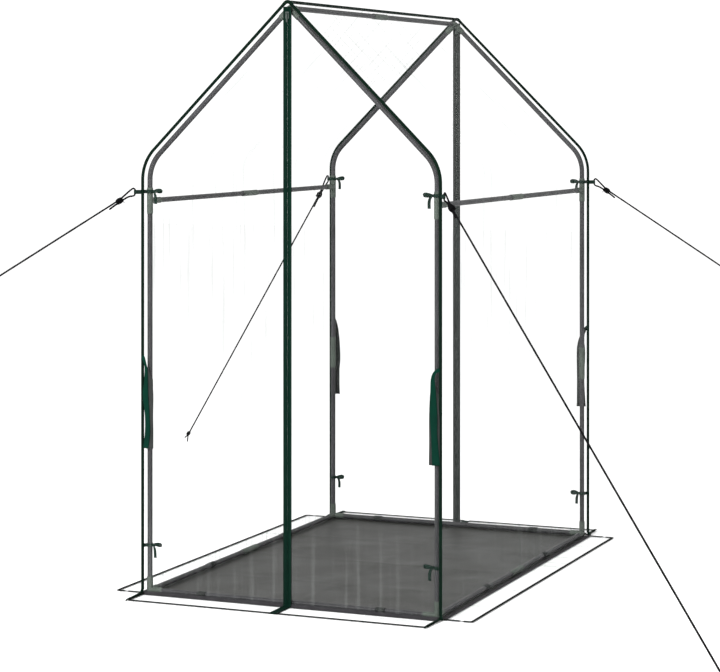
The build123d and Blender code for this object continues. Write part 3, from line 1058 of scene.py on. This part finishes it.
@dataclass
class SeamPiping:
    """Corded binding in the seams: over each end's arch and along the ridge."""

    plan: Plan
    dark: Material
    # lighter copy of the piping, for a painted highlight
    bright: Material
    radius: float = 0.0048
    peak_round: float = 0.012
    wrap: float = 0.026
    wrap_thick: float = 0.0009
    ridge_short: float = 0.0035
    foot_start: float = 0.016
    tail_thick: float = 0.0024

    def build(self) -> None:
        """Make the two arches, the wraps at their peaks, the ridge and the tails."""
        across = Vector((0, 1, 0))
        for end in End:
            name, arch = end.name.lower(), self.arch(end)
            self.seam(f"piping_{name}", arch, self.radius, across)
            line = [p for p in arch if abs(p.x) < self.wrap]
            self.seam(f"peak_wrap_{name}", line, self.radius + self.wrap_thick, across)
        outline = Roofline(self.plan, self.plan.gap)
        z = outline.peak_z - self.peak_round * (1 / math.cos(outline.pitch) - 1)
        half = self.plan.wall_y - self.ridge_short
        self.seam("piping_ridge", [Vector((0, y, z)) for y in spread(-half, half, 60)], self.radius, X_WAY)
        for corner in CORNERS:
            self.tail(corner)

    def tail(self, corner: Corner) -> None:
        """Lay the binding's flat end out over the skirt's side edge."""
        x, y, out = self.plan.wall_x, self.plan.wall_y, self.plan.skirt_y
        route = (
            (x + 0.001, y + 0.002, 0.0095),
            (x, y + 0.012, 0.0066),
            (x - 0.002, y + 0.035, 0.0063),
            (x - 0.004, (y + out) / 2 + 0.01, 0.0063),
            (x - 0.005, out - 0.006, 0.0061),
            (x - 0.005, out + 0.007, 0.0035),
        )
        widths = smooth_widths((0.0075, 0.0110, 0.0105, 0.0090, 0.0075, 0.0060), 6)
        shape = Shape()
        shape.strip(smooth_line([corner.place(*p) for p in route], 6), X_WAY, widths, self.tail_thick)
        fasten(shape.piece(f"piping_tail_{corner.name}", self.dark), "piping")

    def arch(self, end: End) -> list[Vector]:
        """Middle of the piping over one end, from the left foot to the right one."""
        outline = Roofline(self.plan, self.plan.gap)
        y = end.value * self.plan.wall_y
        centre_z = outline.peak_z - self.peak_round / math.cos(outline.pitch)
        straight = outline.slope - self.peak_round * math.tan(outline.pitch)
        eave = outline.wall + outline.bend
        stretches = (
            (self.foot_start, outline.wall, 46),
            (outline.wall, eave, 16),
            (eave, eave + straight, 26),
        )
        foot = ((0.007, 1.009, 0.0052), (0.002, 1.003, 0.0075))
        right = [Vector((outline.x + off, y * share, z)) for off, share, z in foot]
        for low, high, count in stretches:
            for run in spread(low, high, count)[:-1]:
                x, z, _, _ = outline.at(run)
                right.append(Vector((x, y, z)))
        right += arc(Vector((0, y, centre_z)), UP, X_WAY, self.peak_round, spread(outline.pitch, 0, 8))
        left = [Vector((-p.x, p.y, p.z)) for p in right]
        return left + right[-2::-1]

    def seam(self, name: str, line: Sequence[Vector], radius: float, across: Vector) -> None:
        """Make one length of binding, with a painted highlight: a lighter strip along one side, the outer
        one over the arches.
        """
        rings = []
        for i, (point, direction) in enumerate(zip(line, tangents(line))):
            side = (across - across.dot(direction) * direction).normalized()
            near_end = 0.7 if i in (0, len(line) - 1) else 1.0
            rings.append(ring_round(point, side, direction.cross(side), radius * near_end, 12))
        shape = Shape()
        # Faces 2 and 3 of the twelve round the ring take the lighter copy: a painted highlight.
        shape.loft(rings, slots=(0, 0, 1, 1, 0, 0, 0, 0, 0, 0, 0, 0))
        fasten(shape.piece(name, self.dark, self.bright), "piping", "seam_piping")


@dataclass
class GroundSheet:
    """Dark sheet over the ground inside, with the slight folds that it was packed with."""

    plan: Plan
    finish: Material
    rows: int = 110
    columns: int = 76
    lift: float = 0.0022
    packed_fold: float = 0.0012
    fold_half: float = 0.006
    folds_y: tuple[float, ...] = (-0.36, 0.0, 0.36)
    beside_rails: float = 0.012
    rest_z: float = 0.0008

    def build(self) -> None:
        """Make the sheet."""
        low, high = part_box("floor_sheet")
        columns = spread(low.x, high.x, self.columns)
        shape = Shape()
        rows = spread(low.y, high.y, self.rows)
        shape.grid([[Vector((x, y, self.height(x, y))) for x in columns] for y in rows])
        made = shape.piece("ground_sheet", self.finish)
        fasten(made, "ground_sheet", "floor_sheet")

    def height(self, x: float, y: float) -> float:
        """Height of the sheet, flat under the rails and rippled between them."""
        clear = min(self.plan.post_x - abs(x), self.plan.post_y - abs(y)) - self.beside_rails
        free = min(1.0, max(0.0, clear / 0.05))
        ripple = max(0.0, crease(x * 7, y * 5, 1.3) + 0.5 * crease(x * 19, y * 13, 6.1))
        off_folds = [x, *(y - at for at in self.folds_y)]
        folds = sum(math.exp(-((off / self.fold_half) ** 2)) for off in off_folds)
        return self.rest_z + free * (self.lift * ripple + self.packed_fold * folds)


@dataclass
class FrameTies:
    """Ribbons that tie the cover to the posts, and wide loops round the base rails."""

    plan: Plan
    finish: Material
    loop_finish: Material
    width: float = 0.011
    thick: float = 0.0012
    heights: tuple[tuple[str, float, float], ...] = (("high", 1.235, 0.0095), ("low", 0.150, 0.008))
    knot_radius: float = 0.0042
    rail_radius: float = 0.008
    loop_width: float = 0.030
    loop_x: float = 0.294
    loop_y: float = 0.285
    bow_ribbons: tuple[tuple[tuple[Triple, ...], tuple[float, ...]], ...] = (
        (
            ((0.0, 0.002, 0.001), (0.008, 0.005, 0.003), (0.017, 0.006, 0.003), (0.023, 0.004, 0.002),
             (0.0225, -0.001, 0.001), (0.015, -0.003, 0.000), (0.006, -0.002, 0.000), (0.0, 0.0, 0.0)),
            (0.006, 0.009, 0.013, 0.014, 0.013, 0.012, 0.008, 0.006),
        ),
        (
            ((0.0, 0.003, -0.001), (0.005, 0.006, -0.007), (0.008, 0.007, -0.018), (0.0085, 0.006, -0.038)),
            (0.005, 0.008, 0.010, 0.010),
        ),
    )

    def build(self) -> None:
        """Make the ties of the four posts and the eight rail loops."""
        for corner in CORNERS:
            for label, height, radius in self.heights:
                tie = self.post_tie(corner, height, radius).piece(f"tie_{corner.name}_{label}", self.finish)
                fasten(tie, "ribbon", "frame_ties")
            for place in ("end", "side"):
                loop = self.rail_loop(corner, place == "end")
                made = loop.piece(f"rail_loop_{corner.name}_{place}", self.loop_finish)
                fasten(made, "ribbon", "frame_ties")

    def post_tie(self, corner: Corner, height: float, radius: float) -> Shape:
        """Round the post, out to the seam, and tied in a bow on the inner side."""
        shape = Shape()
        centre = corner.place(self.plan.post_x, self.plan.post_y, height)
        inward, outward = corner.inward_x, corner.outward
        facing = Vector((0, corner.end.value, 0))
        turn = radius + 0.0004 + self.thick / 2
        round_post = arc(centre, outward, UP.cross(outward), turn, spread(0, FULL_TURN, 24))
        to_seam = [centre + outward * run for run in spread(turn, math.sqrt(2) * self.plan.gap - 0.003, 4)]
        for line in (round_post, to_seam):
            shape.strip(line, UP, self.width, self.thick)
        knot = centre + inward * (turn + 0.004)
        for lean in (-0.7, 0.5):
            slanted = facing + UP * 0.0012 * lean / self.knot_radius
            wrap = arc(knot, inward, slanted, self.knot_radius, spread(0, FULL_TURN, 10))
            shape.strip(wrap, UP, self.width * 0.62, self.thick)
        for route, widths in self.bow_ribbons:
            line = smooth_line([knot + a * inward + b * facing + c * UP for a, b, c in route], 5)
            wide = [w for a, b in zip(widths, widths[1:]) for w in spread(a, b, 5)[:-1]] + [widths[-1]]
            shape.strip(line, [facing.cross(d) for d in tangents(line)], wide, self.thick * 0.8)
        return shape

    def rail_loop(self, corner: Corner, on_end: bool) -> Shape:
        """A wide band round a base rail, sewn to the foot of the wall."""
        shape = Shape()
        if on_end:
            centre = corner.place(self.loop_x, self.plan.post_y, self.plan.rail_z)
            out, along = Vector((0, corner.end.value, 0)), Vector((1, 0, 0))
        else:
            centre = corner.place(self.plan.post_x, self.loop_y, self.plan.rail_z)
            out, along = Vector((corner.side.value, 0, 0)), Vector((0, 1, 0))
        turn = self.rail_radius + 0.0003 + self.thick / 2
        band = arc(centre, out, UP, turn, spread(math.radians(12), math.radians(348), 24))
        to_wall = ((self.plan.gap - 0.0012, 0.003), (turn + 0.006, 0.0012))
        head = [centre + out * run + UP * rise for run, rise in to_wall]
        tail = [centre + out * run - UP * rise for run, rise in reversed(to_wall)]
        shape.strip(head + band + tail, along, self.loop_width, self.thick)
        return shape


@dataclass
class TieBackStrap:
    """Long webbing strap at a corner that holds an open door: a green face on a grey lining."""

    corner: Corner
    face: StrapRoute
    lining: StrapRoute
    top_z: float = 0.737

    def build(self, plan: Plan, finishes: Finishes) -> None:
        """Make the face and the lining, hanging outside the film."""
        layers = (
            ("strap", self.face, finishes.webbing, 0.0016),
            ("strap_lining", self.lining, finishes.webbing_back, 0.0012),
        )
        for name, route, finish, thick in layers:
            made = self.band(plan, route, thick).piece(f"{name}_{self.corner.name}", finish)
            fasten(made, "webbing", "tie_back_straps")

    def band(self, plan: Plan, route: StrapRoute, thick: float) -> Shape:
        """One layer of the strap.

        Args:
            plan: Main sizes.
            route: Inward from the seam, out from the film, down from the top, and width, in millimetres.
            thick: Thickness of the layer.

        Returns:
            The band.
        """
        top = Vector((plan.wall_x, plan.wall_y, self.top_z))
        points = [self.corner.place(*(top + Vector((-a, b, -c)) / 1000)) for a, b, c, _ in route]
        widths = smooth_widths([width / 1000 for *_, width in route], 8)
        shape = Shape()
        shape.ribbon(smooth_line(points, 8), Vector((0, self.corner.end.value, 0)), widths, thick)
        return shape


@dataclass
class GuyRope:
    """One guy rope: tail, near knot, turn through the corner's eye, and the long taut run."""

    corner: Corner
    away: tuple[float, float]
    drop: float
    height: float
    reach: float
    length: float
    ring: bool
    eye_out: float = 0.0233
    eye_z: float = 1.234
    eye_radius: float = 0.0041
    eye_width: float = 0.0126
    eye_thick: float = 0.0011
    through_eye: float = 0.0085
    radius: float = 0.0025
    step: float = 0.003
    knot_run: float = 0.051
    ring_radius: float = 0.014
    lay: float = 0.017

    def spot(self, plan: Plan, run: float, height: float) -> Vector:
        """A point in the rope's upright plane, from the middle of its eye."""
        seam = self.corner.place(plan.wall_x, plan.wall_y, self.eye_z)
        return seam + self.corner.outward * self.eye_out + run * Vector((*self.away, 0)) + height * UP

    def on_rope(self, plan: Plan, run: float, depth: float = 0.0) -> Vector:
        """A point on the taut run, or at a depth under it."""
        return self.spot(plan, run, self.height - self.drop * (run - self.through_eye) - depth)

    def along(self, plan: Plan) -> Vector:
        """Direction of the taut run, away from the greenhouse."""
        return (self.on_rope(plan, 1) - self.on_rope(plan, 0)).normalized()

    def route(self, plan: Plan) -> list[Vector]:
        """The rope's own points, from its tail to its end knot."""
        returning = ((0.083, 0.010), (0.068, 0.0078), (0.054, 0.0079), (0.037, 0.0070), (0.020, 0.0075))
        turn = ((0.0055, -0.013), (0.0, -0.0065), (0.0, 0.0065), (0.004, 0.0115), (0.010, 0.011))
        points = [self.on_rope(plan, run, depth) for run, depth in returning]
        points += [self.spot(plan, run, height) for run, height in turn]
        taut = (self.knot_run - 0.003, self.knot_run + 0.021, self.reach)
        return points + [self.on_rope(plan, run) for run in taut]

    def build(self, plan: Plan, finishes: Finishes) -> None:
        """Make the rope with its knots, end ring and eye ribbon."""
        line = evenly(spline_line(self.route(plan)), self.step)
        name = self.corner.name
        rope = self.strands(line, self.radius, f"guy_rope_{name}_laid", finishes.rope)
        near, far = self.on_rope(plan, self.knot_run, 0.0032), self.on_rope(plan, self.reach)
        extras = [self.knot(plan, near, (0.0066, 0.019), f"knot_{name}_near", finishes.rope)]
        extras.append(self.knot(plan, far, (0.0036, 0.0145), f"knot_{name}_end", finishes.rope))
        extras += self.end_pieces(plan, finishes.rope)
        fasten(rope, "rope", f"guy_rope_{name}")
        for piece in extras:
            fasten(piece, "rope", "guy_knots")
        self.eye(plan, finishes.ribbon)

    def strands(self, line: Sequence[Vector], radius: float, name: str, finish: Material) -> Piece:
        """Three twisted strands along a line."""
        along = tangents(line)
        side = along[0].orthogonal().normalized()
        run, rings = 0.0, []
        for i, (point, direction) in enumerate(zip(line, along)):
            run += (point - line[i - 1]).length if i else 0.0
            side = (side - side.dot(direction) * direction).normalized()
            near_end = 0.6 if i in (0, len(line) - 1) else 1
            ring = []
            for k in range(9):
                size = radius * (1.18 if k % 3 else 0.98) * near_end
                ring += arc(point, side, direction.cross(side), size, [FULL_TURN * (k / 9 + run / self.lay)])
            rings.append(ring)
        shape = Shape()
        shape.loft(rings)
        return shape.piece(name, finish)

    def knot(
        self, plan: Plan, centre: Vector, size: tuple[float, float], name: str, finish: Material
    ) -> Piece:
        """Turns of rope wound round the run, fullest in the middle, with a turn laid across them."""
        radius, length = size
        along = self.along(plan)
        side = UP.cross(along).normalized()
        other = along.cross(side)
        turns, steps = 5, 14
        points = [centre - along * length * 0.6 + radius * 0.3 * other]
        for share in spread(0, 1, turns * steps):
            full = radius * (0.72 + 0.28 * math.sin(math.pi * share))
            middle = centre + along * (share - 0.5) * length
            points += arc(middle, side, 1.1 * other, full, [FULL_TURN * turns * share])
        for share in (0.4, 0.15, -0.15, -0.4):
            points.append(centre + along * share * length + (radius + 0.0024) * (side + 0.5 * other) * 0.9)
        points.append(centre - along * 0.5 * length + radius * 1.9 * (0.3 * side - other))
        return self.strands(smooth_line(points, 2), self.radius * 0.95, name, finish)

    def end_pieces(self, plan: Plan, finish: Material) -> list[Piece]:
        """The loop for the peg, or the two tails of a plain end."""
        along = self.along(plan)
        end = self.on_rope(plan, self.reach) + along * 0.008
        over = along.cross(UP.cross(along).normalized())
        name = f"rope_end_{self.corner.name}"
        if self.ring:
            centre = end + along * self.ring_radius
            points = arc(centre, -along, 0.82 * over, self.ring_radius, spread(0, FULL_TURN, 20))
            return [self.strands(smooth_line(points, 3), self.radius * 0.95, name, finish)]
        made = []
        for label, lift in (("upper", 0.008), ("lower", -0.014)):
            points = [end, end + along * 0.009 + over * lift * 0.4, end + along * 0.024 + over * lift]
            made.append(self.strands(smooth_line(points, 5), self.radius * 0.9, f"{name}_{label}", finish))
        return made

    def eye(self, plan: Plan, finish: Material) -> None:
        """Ribbon folded into an upright eye and sewn into the corner seam."""
        seam = self.corner.place(plan.wall_x, plan.wall_y, self.eye_z)
        out, side = self.corner.outward, UP.cross(self.corner.outward)
        legs = ((0.0025, 0.0008), (0.009, 0.0012), (0.016, 0.0026))
        angles = spread(math.radians(110), math.radians(-110), 12)
        line = [seam + a * out + b * side for a, b in legs]
        line += arc(seam + self.eye_out * out, out, side, self.eye_radius, angles)
        line += [seam + a * out - b * side for a, b in reversed(legs)]
        shape = Shape()
        shape.strip(line, UP, self.eye_width, self.eye_thick)
        fasten(shape.piece(f"guy_eye_{self.corner.name}", finish), "ribbon", "guy_loops")


def spline_line(points: Sequence[Vector]) -> list[Vector]:
    """Read the smooth line of a route's own spline.

    Args:
        points: The route's points.

    Returns:
        Points of the spline's line, in order.
    """
    data = bpy.data.curves.new("route", "CURVE")
    data.dimensions = "3D"
    spline = data.splines.new("NURBS")
    spline.points.add(len(points) - 1)
    for spot, point in zip(spline.points, points):
        spot.co = (*point, 1)
    spline.order_u = 3
    spline.use_endpoint_u = True
    data.resolution_u = 24
    holder = bpy.data.objects.new("route", data)
    mesh = bpy.data.meshes.new_from_object(holder)
    line = [v.co.copy() for v in mesh.vertices]
    bpy.data.objects.remove(holder)
    bpy.data.curves.remove(data)
    bpy.data.meshes.remove(mesh)
    return line


def evenly(line: Sequence[Vector], step: float) -> list[Vector]:
    """Points at an even step along a line."""
    lengths = [0.0]
    for a, b in zip(line, line[1:]):
        lengths.append(lengths[-1] + (b - a).length)
    count = max(2, round(lengths[-1] / step))
    found, k = [], 0
    for i in range(count + 1):
        run = lengths[-1] * i / count
        while k < len(line) - 2 and lengths[k + 1] < run:
            k += 1
        share = (run - lengths[k]) / max(1e-9, lengths[k + 1] - lengths[k])
        found.append(line[k].lerp(line[k + 1], min(1.0, share)))
    return found


@dataclass
class Studio:
    """Pale floor, soft light and the camera."""

    floor_size: float = 40.0
    sky: float = 1.15
    aim: Triple = (0, 0, 0.8)
    eye: Triple = (2.862, -7.023, 1.485)
    heading: float = 0.3954
    lens: float = 115.7
    shift_y: float = -0.3138

    def build(self) -> None:
        """Set up everything that isn't part of the greenhouse."""
        self.floor()
        self.lights()
        self.camera()
        bpy.context.scene.view_settings.view_transform = "Standard"

    def floor(self) -> None:
        """Wide pale floor."""
        half = self.floor_size / 2
        shape = Shape()
        shape.grid([[Vector((x, y, 0)) for x in (-half, half)] for y in (-half, half)])
        shader = Shader("studio_floor")
        shader.set(Base_Color=(0.93, 0.93, 0.93, 1), Roughness=0.9, Specular_IOR_Level=0.1)
        shape.piece("studio_floor", shader.material)

    def lights(self) -> None:
        """Even white sky with a broad soft key and fill."""
        world = bpy.data.worlds.new("studio_sky")
        world.use_nodes = True
        backdrop = next(n for n in world.node_tree.nodes if n.type == "BACKGROUND")
        backdrop.inputs["Color"].default_value = (1, 1, 1, 1)
        backdrop.inputs["Strength"].default_value = self.sky
        bpy.context.scene.world = world
        lamps = (("key", (-1.4, -6.6, 3.4), 2.5, 520.0), ("fill", (3.5, -4.5, 3.4), 3.0, 60.0))
        for name, place, size, power in lamps:
            data = bpy.data.lights.new(name, "AREA")
            data.size, data.energy = size, power
            lamp = bpy.data.objects.new(name, data)
            lamp.location = place
            lamp.rotation_euler = (Vector(self.aim) - lamp.location).to_track_quat("-Z", "Y").to_euler()
            bpy.context.scene.collection.objects.link(lamp)

    def camera(self) -> None:
        """A long lens from the front right, held level."""
        data = bpy.data.cameras.new("camera")
        data.lens, data.sensor_width = self.lens, 36.0
        data.shift_y = self.shift_y
        data.clip_end = 200.0
        made = bpy.data.objects.new("camera", data)
        made.location = self.eye
        made.rotation_euler = (math.pi / 2, 0, self.heading)
        bpy.context.scene.collection.objects.link(made)
        bpy.context.scene.camera = made


DIAGONAL = math.sqrt(0.5)
STRAPS = (
    TieBackStrap(
        Corner(End.FRONT, Side.LEFT),
        (
            (1, 5, 9, 18), (7, 8, 13, 13), (13, 9.5, 26, 9), (17, 10, 45, 10), (16.5, 10, 86, 14),
            (15, 10, 124, 19), (20.5, 9.5, 187, 16), (21, 8.5, 239, 18), (14.5, 7.5, 288, 18),
        ),
        (
            (18, 7.6, 40, 8), (22, 7.4, 58, 13), (27, 7, 86, 20), (30, 7, 124, 22),
            (31, 6.5, 187, 18), (31, 6, 239, 19), (29, 5.5, 288, 22),
        ),
    ),
    TieBackStrap(
        Corner(End.FRONT, Side.RIGHT),
        (
            (1, 5, 8, 14), (8, 8, 10, 10), (16, 9.5, 18, 10), (20.5, 10, 36, 13),
            (19.5, 10, 73, 18), (18, 10, 145, 23), (16.5, 9, 201, 20), (11, 7.5, 285, 25),
        ),
        (
            (20, 7.4, 44, 8), (18.5, 7, 80, 24), (17, 6.5, 150, 33), (17, 6, 215, 33),
            (17, 5.5, 285, 35),
        ),
    ),
    TieBackStrap(
        Corner(End.BACK, Side.RIGHT),
        (
            (1, 5.5, 9, 16), (10, 9, 14, 12), (20, 10, 28, 12), (26, 10, 62, 20),
            (27, 10, 102, 25), (28, 9.5, 189, 22), (26, 8.5, 285, 28),
        ),
        (
            (12, 6.6, 20, 8), (22, 6.8, 38, 14), (27, 6.6, 64, 24), (27.5, 6.4, 102, 31),
            (28.5, 6.2, 189, 27), (27, 6, 265, 31), (26.5, 5.8, 287, 34),
        ),
    ),
    TieBackStrap(
        Corner(End.BACK, Side.LEFT),
        (
            (1, 5.5, 9, 16), (7, 9, 13, 12), (14, 10, 26, 11), (18, 10, 60, 18), (19, 10, 120, 24),
            (18, 9.5, 189, 25), (18, 8.5, 285, 26),
        ),
        (
            (9, 6.6, 18, 8), (16, 6.8, 34, 14), (18.5, 6.6, 86, 26), (19.5, 6.4, 157, 31),
            (16, 6.2, 215, 29), (18, 6, 287, 31),
        ),
    ),
)
ROPES = (
    GuyRope(Corner(End.FRONT, Side.LEFT), (-DIAGONAL, -DIAGONAL), 0.597, 0.0015, 0.475, 0.668, True),
    GuyRope(Corner(End.FRONT, Side.RIGHT), (DIAGONAL, -DIAGONAL), 0.681, 0.0010, 1.565, 2.012, True),
    GuyRope(Corner(End.BACK, Side.RIGHT), (DIAGONAL, DIAGONAL), 0.606, -0.0015, 0.565, 0.778, True),
    GuyRope(Corner(End.BACK, Side.LEFT), (-0.8982, 0.4396), 1.211, -0.006, 0.846, 1.481, False),
)


def main() -> None:
    """Load the frame and build every piece round it."""
    logging.basicConfig(level=logging.INFO, format="%(name)s: %(message)s")
    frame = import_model()
    plan = Plan.read()
    finishes = Finishes.build()
    Studio().build()
    for rope in ROPES:
        rope.build(plan, finishes)
        LOG.info("rope and eye: %s", rope.corner.name)
    Frame(frame["nodes"], frame["record"]["subparts"], finishes).dress()
    for side in Side:
        SideCover(plan, finishes.film).build(side)
        SideSkirt(plan, finishes.film, finishes.hem).build(side)
        FootSeam(plan, finishes.foot).side(side)
        LOG.info("film and skirt: %s side", side.name.lower())
    for corner in CORNERS:
        EndWallHalf(plan, finishes.film).build(corner)
        EndHem(plan, finishes.hem).build(corner)
        ZipTape(plan, finishes).build(corner)
        FootSeam(plan, finishes.foot).end(corner)
        LOG.info("end wall, hem, zip and foot seam: %s", corner.name)
    for strap in STRAPS:
        strap.build(plan, finishes)
    SeamPiping(plan, finishes.piping, finishes.piping_bright).build()
    GroundSheet(plan, finishes.ground).build()
    FrameTies(plan, finishes.ribbon, finishes.webbing_back).build()
    LOG.info("piping, ground sheet and ties")


if __name__ == "__main__":
    main()
